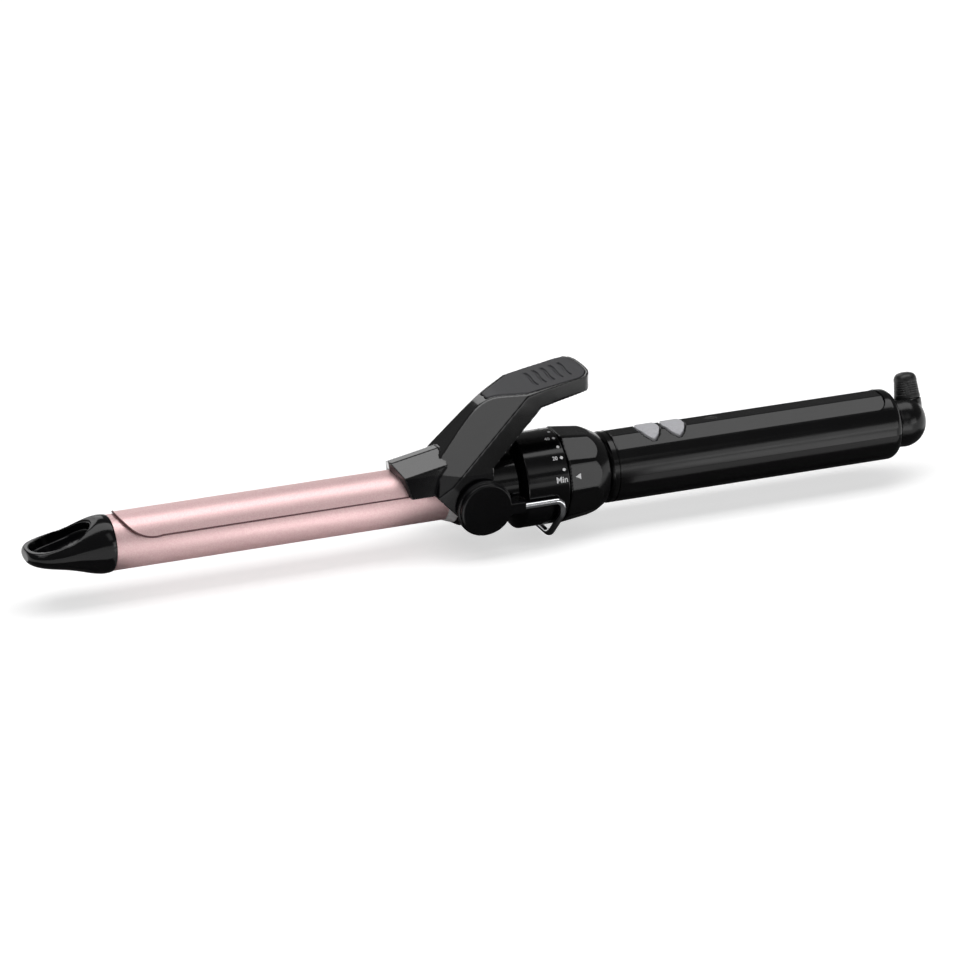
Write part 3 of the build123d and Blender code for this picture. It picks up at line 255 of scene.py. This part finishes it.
# Heater core: two extruded aluminium spreaders round a ceramic heater bar wrapped in insulating film.
# A fuse and a sensor sit in the lower spreader's notches, and two sleeved leads run to the handle.
def bare_metal(name, colour, stain, roughness, spread):
    """Bare or plated metal: an even tone with faint stains, over which the gloss varies."""
    stain_width = 2 * mm
    made, tree, shader, place = start_finish(name)
    cloud = add_node(
        tree,
        "ShaderNodeTexNoise",
        {"Vector": place, "Scale": 1 / stain_width, "Detail": 3.0},
    )
    tone = add_node(
        tree,
        "ShaderNodeMix",
        {"Factor": cloud.outputs["Fac"], 6: linear(colour), 7: linear(stain)},
        data_type="RGBA",
    )
    tree.links.new(tone.outputs[2], shader.inputs["Base Color"])
    rough = add_node(
        tree,
        "ShaderNodeMapRange",
        {"Value": cloud.outputs["Fac"], "To Min": roughness, "To Max": roughness + spread},
    )
    tree.links.new(rough.outputs[0], shader.inputs["Roughness"])
    shader.inputs["Metallic"].default_value = 1.0
    return made


def gloss_moulding(name, colour, smeared, roughness, ripple, ior=1.46, see_through=0.0, gloss=0.5):
    """Moulded or cast piece: a slow sink ripple, and faint smears in its tone and gloss."""
    smear_width, ripple_length, ripple_depth = 14 * mm, 9 * mm, 1 * mm
    smear_spread = 0.3
    made, tree, shader, place = start_finish(name)
    smear = add_node(
        tree,
        "ShaderNodeTexNoise",
        {"Vector": place, "Scale": 1 / smear_width, "Detail": 4.0},
    )
    rough = add_node(
        tree,
        "ShaderNodeMapRange",
        {
            "Value": smear.outputs["Fac"],
            "To Min": roughness * (1 - smear_spread),
            "To Max": roughness * (1 + smear_spread),
        },
    )
    tree.links.new(rough.outputs[0], shader.inputs["Roughness"])
    tone = add_node(
        tree,
        "ShaderNodeMix",
        {"Factor": smear.outputs["Fac"], 6: linear(colour), 7: linear(smeared)},
        data_type="RGBA",
    )
    tree.links.new(tone.outputs[2], shader.inputs["Base Color"])
    wave = add_node(
        tree,
        "ShaderNodeTexNoise",
        {"Vector": place, "Scale": 1 / ripple_length, "Detail": 1.0},
    )
    bump = add_node(
        tree,
        "ShaderNodeBump",
        {"Height": wave.outputs["Fac"], "Strength": ripple, "Distance": ripple_depth},
    )
    tree.links.new(bump.outputs[0], shader.inputs["Normal"])
    shader.inputs["IOR"].default_value = ior
    shader.inputs["Transmission Weight"].default_value = see_through
    shader.inputs["Specular IOR Level"].default_value = gloss
    return made


def soft_rubber(name, colour, worn, roughness, grain):
    """Matte moulded rubber or sleeving with a grain of this size in mm."""
    cloud_width, pit_depth, pit_strength = 6 * mm, 0.05 * mm, 0.25
    rubber_ior = 1.5
    made, tree, shader, place = start_finish(name)
    cloud = add_node(
        tree,
        "ShaderNodeTexNoise",
        {"Vector": place, "Scale": 1 / cloud_width, "Detail": 4.0},
    )
    tone = add_node(
        tree,
        "ShaderNodeMix",
        {"Factor": cloud.outputs["Fac"], 6: linear(colour), 7: linear(worn)},
        data_type="RGBA",
    )
    tree.links.new(tone.outputs[2], shader.inputs["Base Color"])
    pits = add_node(tree, "ShaderNodeTexVoronoi", {"Vector": place, "Scale": 1 / (grain * mm)})
    bump = add_node(
        tree,
        "ShaderNodeBump",
        {"Height": pits.outputs["Distance"], "Strength": pit_strength, "Distance": pit_depth},
    )
    tree.links.new(bump.outputs[0], shader.inputs["Normal"])
    shader.inputs["Roughness"].default_value = roughness
    shader.inputs["IOR"].default_value = rubber_ior
    return made


extruded_aluminium = bare_metal("extruded_aluminium", "#c3c4c6", "#b2b4b7", 0.32, 0.12)
heater_ceramic = gloss_moulding("pressed_heater_ceramic", "#cfc8ba", "#dad4c8", 0.6, 0.1, 1.7)
polyimide_film = gloss_moulding("amber_polyimide_film", "#8f5416", "#a3661f", 0.22, 0.2, 1.7)
nickel_case = bare_metal("nickel_plated_case", "#b8b4ab", "#a7a298", 0.22, 0.12)
glass_bead = gloss_moulding("sealed_glass_bead", "#c9b79a", "#d6c7ae", 0.08, 0.02, 1.52, 0.5)
silicone_sleeve = soft_rubber("braided_silicone_sleeve", "#c9c6bf", "#b8b4ab", 0.6, 0.35)
paint(nodes["heater_half_upper"], extruded_aluminium)
paint(nodes["heater_half_lower"], extruded_aluminium)
paint(nodes["ptc_heater"], heater_ceramic)
paint(nodes["heater_insulation"], polyimide_film)
paint(nodes["thermal_fuse"], nickel_case)
paint(nodes["temperature_sensor"], glass_bead)
paint(nodes["heater_leads"], silicone_sleeve)


# Barrel: drawn aluminium tube with a satin rose ceramic coating, slid over the heater and into the
# hinge housing. The coating is a pearl: a soft wide highlight and a faint sparkle of fine flakes.
def pearl_coating(name, base, pearl, roughness, metal):
    """Satin pearl lacquer; flakes and drawn streaks are coarser than real, so that they show."""
    flake_width = 0.35 * mm
    streaks_per_metre = (20.0, 900.0, 900.0)
    streak_spread = 0.04
    made, tree, shader, place = start_finish(name)
    flakes = add_node(tree, "ShaderNodeTexVoronoi", {"Vector": place, "Scale": 1 / flake_width})
    flake_tone = add_node(tree, "ShaderNodeSeparateColor", {"Color": flakes.outputs["Color"]})
    tone = add_node(
        tree,
        "ShaderNodeMix",
        {"Factor": flake_tone.outputs[0], 6: linear(base), 7: linear(pearl)},
        data_type="RGBA",
    )
    tree.links.new(tone.outputs[2], shader.inputs["Base Color"])
    drawn = add_node(tree, "ShaderNodeMapping", {"Vector": place, "Scale": streaks_per_metre})
    streaks = add_node(tree, "ShaderNodeTexNoise", {"Vector": drawn.outputs[0], "Scale": 1.0})
    rough = add_node(
        tree,
        "ShaderNodeMapRange",
        {
            "Value": streaks.outputs["Fac"],
            "To Min": roughness - streak_spread,
            "To Max": roughness + streak_spread,
        },
    )
    tree.links.new(rough.outputs[0], shader.inputs["Roughness"])
    shader.inputs["Metallic"].default_value = metal
    return made


rose_coating = pearl_coating("satin_rose_ceramic_coating", "#e6c0c2", "#eecfce", 0.48, 0.8)
paint(nodes["barrel_tube"], rose_coating)

# Cool tip: moulded heat-resistant polyester in gloss black, pushed into the barrel's mouth by its
# plug. The moulding is nearly mirror-smooth, with a slow ripple and faint handling marks.
weld = 0.001


def copy_node(node, name):
    """A welded copy of a CAD node as a piece of its own, left active and alone selected."""
    bpy.ops.object.select_all(action="DESELECT")
    nodes[node].select_set(True)
    bpy.context.view_layer.objects.active = nodes[node]
    bpy.ops.object.duplicate()
    piece = bpy.context.object
    piece.name = name
    piece.parent = None
    del piece["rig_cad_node"]
    bpy.ops.object.mode_set(mode="EDIT")
    bpy.ops.mesh.select_all(action="SELECT")
    bpy.ops.mesh.remove_doubles(threshold=weld * mm)
    bpy.ops.object.mode_set(mode="OBJECT")
    return piece


def soften(node, name, body, grain, rounds, material, added=None):
    """A CAD node with what is added to it, remeshed at grain mm, its edges eased rounds times."""
    piece = copy_node(node, name)
    if added:
        added.select_set(True)
        bpy.ops.object.join()
    remesh = piece.modifiers.new("eased_skin", "REMESH")
    remesh.mode = "VOXEL"
    remesh.voxel_size = grain * mm
    bpy.ops.object.modifier_apply(modifier=remesh.name)
    smooth = piece.modifiers.new("eased_edges", "SMOOTH")
    smooth.factor = 0.5
    smooth.iterations = rounds
    bpy.ops.object.modifier_apply(modifier=smooth.name)
    bpy.ops.object.shade_smooth()
    paint(piece, material)
    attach(piece, body)
    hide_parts(node)
    return piece


gloss_pet = gloss_moulding("gloss_black_moulded_pet", "#050506", "#08080a", 0.13, 0.03, 1.37)
soften("cool_tip", "tip_moulding", "iron", 0.3, 6, gloss_pet)

# Barrel collar: a pale moulded ring that trims the barrel's end, slid over it against the hinge
# housing. Plain grey nylon, a little cloudy.
grey_nylon = gloss_moulding("pale_grey_moulded_nylon", "#b9b8b8", "#c6c5c5", 0.35, 0.05)
paint(nodes["barrel_collar"], grey_nylon)

# Hinge housing: gloss black moulding that takes the barrel, the pivot pins, the scale and the dial.
# One turned shape with a cone at its front and a shoulder where the neck steps up to the scale.
paint(nodes["hinge_housing"], gloss_pet)


# Scale: white ink pad-printed on the housing beside the dial, a dot for each step, plain numbers,
# Min and Max. The ink is a thin matte film, drawn a little proud, its lower half in the housing.
def ink_film(name):
    """Pad-printing ink: slightly uneven white, thinner and greyer in small patches."""
    patch_width = 0.5 * mm
    ink_roughness = 0.55
    made, tree, shader, place = start_finish(name)
    patch = add_node(
        tree,
        "ShaderNodeTexNoise",
        {"Vector": place, "Scale": 1 / patch_width, "Detail": 2.0},
    )
    tone = add_node(
        tree,
        "ShaderNodeMix",
        {"Factor": patch.outputs["Fac"], 6: linear("#e4e4e6"), 7: linear("#f4f4f4")},
        data_type="RGBA",
    )
    tree.links.new(tone.outputs[2], shader.inputs["Base Color"])
    shader.inputs["Roughness"].default_value = ink_roughness
    return made


white_ink = ink_film("white_printing_ink")
axis_height, scale_radius = 19.8, 16.4
ink_proud, ink_taper, ink_bold = 0.06, 0.94, 0.015
dot_x, number_x, word_x = 22.6, 20.2, 21.4
first_dot, dot_step, dot_count = 63.0, 14.8, 11
dot_radius, dot_sides, step_value = 0.58, 24, 10
number_height, word_height, word_turn = 1.9, 2.9, 12


def on_drum(x, angle, radius):
    """Place on the drum, face outwards; the angle counts from the top towards the near side."""
    turn = math.radians(angle)
    spot = Vector((x, -radius * math.sin(turn), axis_height + radius * math.cos(turn))) * mm
    return Matrix.Translation(spot) @ Matrix.Rotation(turn, 4, "X")


def settle(place):
    """Puts the active object at this place and applies it, so that the place is in its mesh."""
    piece = bpy.context.object
    piece.matrix_world = place
    bpy.ops.object.transform_apply(location=True, rotation=True, scale=True)
    return piece


def ink_spot(sides, radius, place):
    """One printed disc or triangle, raised to the ink's height and drawn in at its upper edge."""
    bpy.ops.object.select_all(action="DESELECT")
    bpy.ops.mesh.primitive_circle_add(vertices=sides, radius=radius * mm, fill_type="NGON")
    bpy.ops.object.mode_set(mode="EDIT")
    bpy.ops.mesh.select_all(action="SELECT")
    bpy.ops.transform.translate(value=(0, 0, -ink_proud * mm))
    bpy.ops.mesh.extrude_region_move(TRANSFORM_OT_translate={"value": (0, 0, 2 * ink_proud * mm)})
    bpy.ops.transform.resize(value=(ink_taper, ink_taper, 1))
    bpy.ops.mesh.select_all(action="SELECT")
    bpy.ops.mesh.normals_make_consistent(inside=False)
    bpy.ops.object.mode_set(mode="OBJECT")
    return settle(place)


def ink_word(word, height, place):
    """Printed word or number, as a mesh."""
    bpy.ops.object.select_all(action="DESELECT")
    bpy.ops.object.text_add()
    text = bpy.context.object
    text.data.body = word
    text.data.align_x = "CENTER"
    text.data.align_y = "CENTER"
    text.data.size = height * mm
    text.data.extrude = ink_proud * mm
    text.data.offset = ink_bold * height * mm
    bpy.ops.object.convert(target="MESH")
    return settle(place)


marks = []
for step in range(dot_count):
    dot_angle = first_dot - step * dot_step
    marks.append(ink_spot(dot_sides, dot_radius, on_drum(dot_x, dot_angle, scale_radius)))
    if step % 2:
        number = str(step_value * (step + 1))
        marks.append(ink_word(number, number_height, on_drum(number_x, dot_angle, scale_radius)))
last_dot = first_dot - (dot_count - 1) * dot_step
for word, word_angle in (("Min", first_dot + word_turn), ("Max", last_dot - word_turn)):
    marks.append(ink_word(word, word_height, on_drum(word_x, word_angle, scale_radius)))
bpy.ops.object.select_all(action="DESELECT")
for mark in marks:
    mark.select_set(True)
bpy.context.view_layer.objects.active = marks[0]
bpy.ops.object.join()
scale_print = bpy.context.object
scale_print.name = "scale_print"
paint(scale_print, white_ink)
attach(scale_print, "iron")

# Clip: spring sheet rolled to the barrel's round and coated like it, held in the lever by two rivets
# of zinc-plated steel. A fine bead round its edge is painted dark, the painted shade of the gap to the
# barrel: the sheet's outer skin is kept, its rim becomes a curve, and the bead is drawn round that.
paint(nodes["clip_plate"], rose_coating)
clip_skin_radius, bead_radius = 10.1, 0.34
clip_bead = copy_node("clip_plate", "clip_bead")
bpy.ops.object.mode_set(mode="EDIT")
bpy.ops.mesh.select_mode(type="FACE")
bpy.ops.mesh.select_all(action="DESELECT")
bpy.ops.object.mode_set(mode="OBJECT")
for face in clip_bead.data.polygons:
    corners = [clip_bead.data.vertices[i].co for i in face.vertices]
    inmost = min(math.hypot(c.y, c.z - axis_height * mm) for c in corners)
    face.select = inmost < clip_skin_radius * mm
bpy.ops.object.mode_set(mode="EDIT")
bpy.ops.mesh.delete(type="FACE")
bpy.ops.mesh.select_mode(type="EDGE")
bpy.ops.mesh.select_all(action="SELECT")
bpy.ops.mesh.region_to_loop()
bpy.ops.mesh.select_all(action="INVERT")
bpy.ops.mesh.delete(type="EDGE")
bpy.ops.object.mode_set(mode="OBJECT")
bpy.ops.object.convert(target="CURVE")
clip_bead.data.bevel_depth = bead_radius * mm
clip_bead.data.bevel_resolution = 2
bpy.ops.object.convert(target="MESH")
bpy.ops.object.shade_smooth()
# The bead's dark rose is painted shade of the gap between clip and barrel.
paint(clip_bead, pearl_coating("painted_gap_shade_rose_coating", "#5f4245", "#6b4c4f", 0.5, 0.5))
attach(clip_bead, "clip")
zinc_steel = bare_metal("zinc_plated_steel", "#b9bcc0", "#a9adb2", 0.25, 0.15)
paint(nodes["clip_rivets"], zinc_steel)

# Lever: one gloss black nylon moulding with a roofed sleeve over the clip, a bowed arm to the thumb
# and two pivot ears. Its facets mirror the softboxes one by one and meet in slightly eased lines;
# the ears are satin. The pad's tail is drawn back into an arc.
gloss_nylon = gloss_moulding(
    "gloss_black_moulded_nylon", "#060607", "#0a0a0b", 0.1, 0.03, 1.5, gloss=0.75
)
satin_nylon = gloss_moulding(
    "satin_black_moulded_nylon", "#08080a", "#0c0c0e", 0.2, 0.04, 1.42, gloss=0.28
)
pad_start = Vector((4.15, 0.0, 53.8)) * mm
pad_slope = math.radians(9.5)
pad_along = Vector((math.cos(pad_slope), 0.0, math.sin(pad_slope)))
pad_half_width = 12.2
tail_run, tail_ease, tail_arc = 25.5, 5.0, 1.5
ear_front, ear_top = -36.0, 30.0


def round_tail(piece):
    """Draws the corners of the pad's tail back into one arc."""
    for vertex in piece.data.vertices:
        past = ((vertex.co - pad_start).dot(pad_along) / mm - tail_run) / tail_ease
        if past > 0 and vertex.co.z > pad_start.z / 2:
            share = min(past, 1.0) ** 2 * (vertex.co.y / mm / pad_half_width) ** 2
            vertex.co -= pad_along * (tail_arc * share * mm)


lever = soften("clip_lever", "lever_moulding", "clip", 0.32, 1, gloss_nylon)
round_tail(lever)
lever.data.materials.append(satin_nylon)
for face in lever.data.polygons:
    if face.center.x > ear_front * mm and face.center.z < ear_top * mm:
        face.material_index = 1

# Thumb pad: a sheet of soft-touch rubber bedded in the lever's pad, with five waved cross grooves
# that stop the thumb. Matte dark grey with a fine even grain; the wave is swept along the pad.
soft_touch = soft_rubber("soft_touch_rubber", "#1c1c20", "#232328", 0.5, 0.3)
thumb_sheet = soften("thumb_pad", "thumb_sheet", "clip", 0.2, 2, soft_touch)
round_tail(thumb_sheet)
groove_middle, groove_span, groove_fade = 18.7, 7.4, 2
groove_half_length, groove_reach = 6.25, 8.2
wave_height = 0.3
for vertex in thumb_sheet.data.vertices:
    off_middle = abs((vertex.co - pad_start).dot(pad_along) / mm - groove_middle)
    across = vertex.co.y / mm
    hold_along = min(max((groove_span + groove_fade - off_middle) / groove_fade, 0.0), 1.0)
    hold_across = min(max(groove_reach - abs(across), 0.0), 1.0)
    wave = math.sin(math.pi * (groove_half_length - across) / groove_half_length)
    vertex.co += pad_along * (hold_along * hold_across * wave_height * wave * mm)

# Pivot: two steel pins pressed into the housing, with a torsion spring round each in the lever's
# ears. Turned and drawn steel, zinc plated.
paint(nodes["pivot_pins"], zinc_steel)
paint(nodes["clip_springs"], zinc_steel)

# Stand: two round hubs on the pins and a bent chrome wire between them, folded up under the housing.
# The hubs are nylon with a satin face from a grained tool, and the wire is bright-drawn and plated.
soften("stand_hub_near", "hub_moulding_near", "stand", 0.22, 3, satin_nylon)
soften("stand_hub_far", "hub_moulding_far", "stand", 0.22, 3, satin_nylon)
bright_chrome = bare_metal("bright_chrome_plate", "#d6d7d9", "#cccdd0", 0.06, 0.06)
paint(nodes["stand_wire"], bright_chrome)

# Temperature dial: gloss black moulded collar with ten tilted flats, turning on the housing over its
# contact board. A brass wiper rides on the glass-cloth board inside it, and a printed arrow on one
# flat points at the scale.
gloss_abs = gloss_moulding("gloss_black_moulded_abs", "#050506", "#080809", 0.17, 0.03, 1.37)
soften("temperature_dial", "dial_moulding", "dial", 0.32, 4, gloss_abs)
arrow_x, arrow_angle, arrow_size, arrow_stretch = 28.0, 74.0, 1.25, 1.2
flat_x, flat_radius, flat_slope = 24.65, 16.2, 0.1226
arrow_place = (
    on_drum(arrow_x, arrow_angle, flat_radius - flat_slope * (arrow_x - flat_x))
    @ Matrix.Rotation(math.atan(flat_slope), 4, "Y")
    @ Matrix.Rotation(math.radians(90), 4, "Z")
    @ Matrix.Diagonal((1.0, arrow_stretch, 1.0, 1.0))
)
dial_arrow = ink_spot(3, arrow_size, arrow_place)
dial_arrow.name = "dial_arrow"
paint(dial_arrow, white_ink)
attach(dial_arrow, "dial")
glass_cloth = gloss_moulding("green_glass_cloth_board", "#1f4d33", "#295c3f", 0.3, 0.05, 1.55)
spring_brass = bare_metal("rolled_spring_brass", "#c6a45c", "#b08d48", 0.2, 0.15)
paint(nodes["track_board"], glass_cloth)
paint(nodes["dial_wiper"], spring_brass)

# Control board: a glass-cloth board in the handle with two key switches, a lamp, a capacitor and a
# power switch. Moulded nylon switches, cast epoxy cases, and a clear epoxy lamp under the window.
black_nylon = gloss_moulding("black_moulded_nylon", "#17171a", "#1e1e21", 0.45, 0.05)
epoxy_lamp = gloss_moulding("cast_epoxy_lamp", "#b04038", "#bd5148", 0.12, 0.02, 1.53, 0.5)
dipped_epoxy = gloss_moulding("dipped_epoxy_case", "#7d2f22", "#8b3a2b", 0.35, 0.1, 1.53)
cast_epoxy = gloss_moulding("cast_epoxy_package", "#1a1a1c", "#222224", 0.5, 0.05, 1.53)
paint(nodes["control_board"], glass_cloth)
paint(nodes["tact_switches"], black_nylon)
paint(nodes["indicator_led"], epoxy_lamp)
paint(nodes["film_capacitor"], dipped_epoxy)
paint(nodes["power_triac"], cast_epoxy)

# Handle: two gloss black shells parted at mid height and screwed together, with a faceted panel laid
# in along the top. The panel is a separate moulding in the same gloss black, its long edges eased.
paint(nodes["handle_upper_shell"], gloss_abs)
paint(nodes["handle_lower_shell"], gloss_abs)
paint(nodes["handle_screws"], zinc_steel)
soften("handle_panel", "panel_moulding", "iron", 0.3, 2, gloss_abs)

# Keys: two almond keys in silver-lacquered ABS that come up through the panel, with a small window
# behind them. The lacquer is a fine metal flake; the window is smoked polycarbonate over the lamp.
silver_lacquer = pearl_coating("silver_lacquered_abs", "#b0b0b4", "#bdbdc1", 0.6, 0.05)
smoked_window = gloss_moulding(
    "smoked_polycarbonate", "#0d0a0b", "#130f10", 0.06, 0.02, 1.58, 0.2
)
soften("button_on", "on_key", "on_key", 0.2, 3, silver_lacquer)
soften("button_off", "off_key", "off_key", 0.2, 3, silver_lacquer)
soften("indicator_lens", "lamp_window", "iron", 0.1, 6, smoked_window)

# Swivel: a turning gloss black elbow, fed through brass slip rings and graphite brushes in a nylon
# holder. A shoulder on the elbow carries a ribbed rubber sleeve that guards the cord's exit, its
# mouth closed by a rounded bung.
graphite = gloss_moulding("pressed_graphite", "#2a2a2c", "#38383a", 0.4, 0.1, 1.8)
pvc_sleeve = soft_rubber("moulded_pvc_sleeve", "#5f2a25", "#6b322c", 0.45, 0.4)
satin_abs = gloss_moulding("satin_black_moulded_abs", "#050506", "#080809", 0.22, 0.03, 1.37)
relief_rubber = soft_rubber("moulded_black_rubber", "#0a0a0b", "#0f0f10", 0.42, 0.3)
paint(nodes["slip_rings"], spring_brass)
paint(nodes["brush_holder"], black_nylon)
paint(nodes["contact_brushes"], graphite)
paint(nodes["supply_leads"], pvc_sleeve)
elbow_middle = Vector((161.05, 0.0, axis_height)) * mm
exit_lean = math.radians(-18.0)
exit_place = Matrix.Translation(elbow_middle) @ Matrix.Rotation(exit_lean, 4, "X")
shoulder_radius, shoulder_wall, shoulder_height, shoulder_sides = 4.85, 1.3, 7.75, 96
bpy.ops.object.select_all(action="DESELECT")
bpy.ops.mesh.primitive_cylinder_add(
    vertices=shoulder_sides,
    radius=shoulder_radius * mm,
    depth=shoulder_height * mm,
    end_fill_type="NOTHING",
)
shoulder = settle(exit_place @ Matrix.Translation((0, 0, shoulder_height / 2 * mm)))
wall = shoulder.modifiers.new("shoulder_wall", "SOLIDIFY")
wall.thickness = shoulder_wall * mm
bpy.ops.object.modifier_apply(modifier=wall.name)
soften("swivel_body", "swivel_elbow", "swivel", 0.25, 24, satin_abs, shoulder)
bung_radius, bung_rise, bung_height = 2.8, 0.75, 16.15
bpy.ops.object.select_all(action="DESELECT")
bpy.ops.mesh.primitive_uv_sphere_add(segments=48, ring_count=24, radius=bung_radius * mm)
bung = settle(
    exit_place
    @ Matrix.Translation((0, 0, bung_height * mm))
    @ Matrix.Diagonal((1, 1, bung_rise / bung_radius, 1))
)
soften("strain_relief", "relief_sleeve", "swivel", 0.18, 3, relief_rubber, bung)
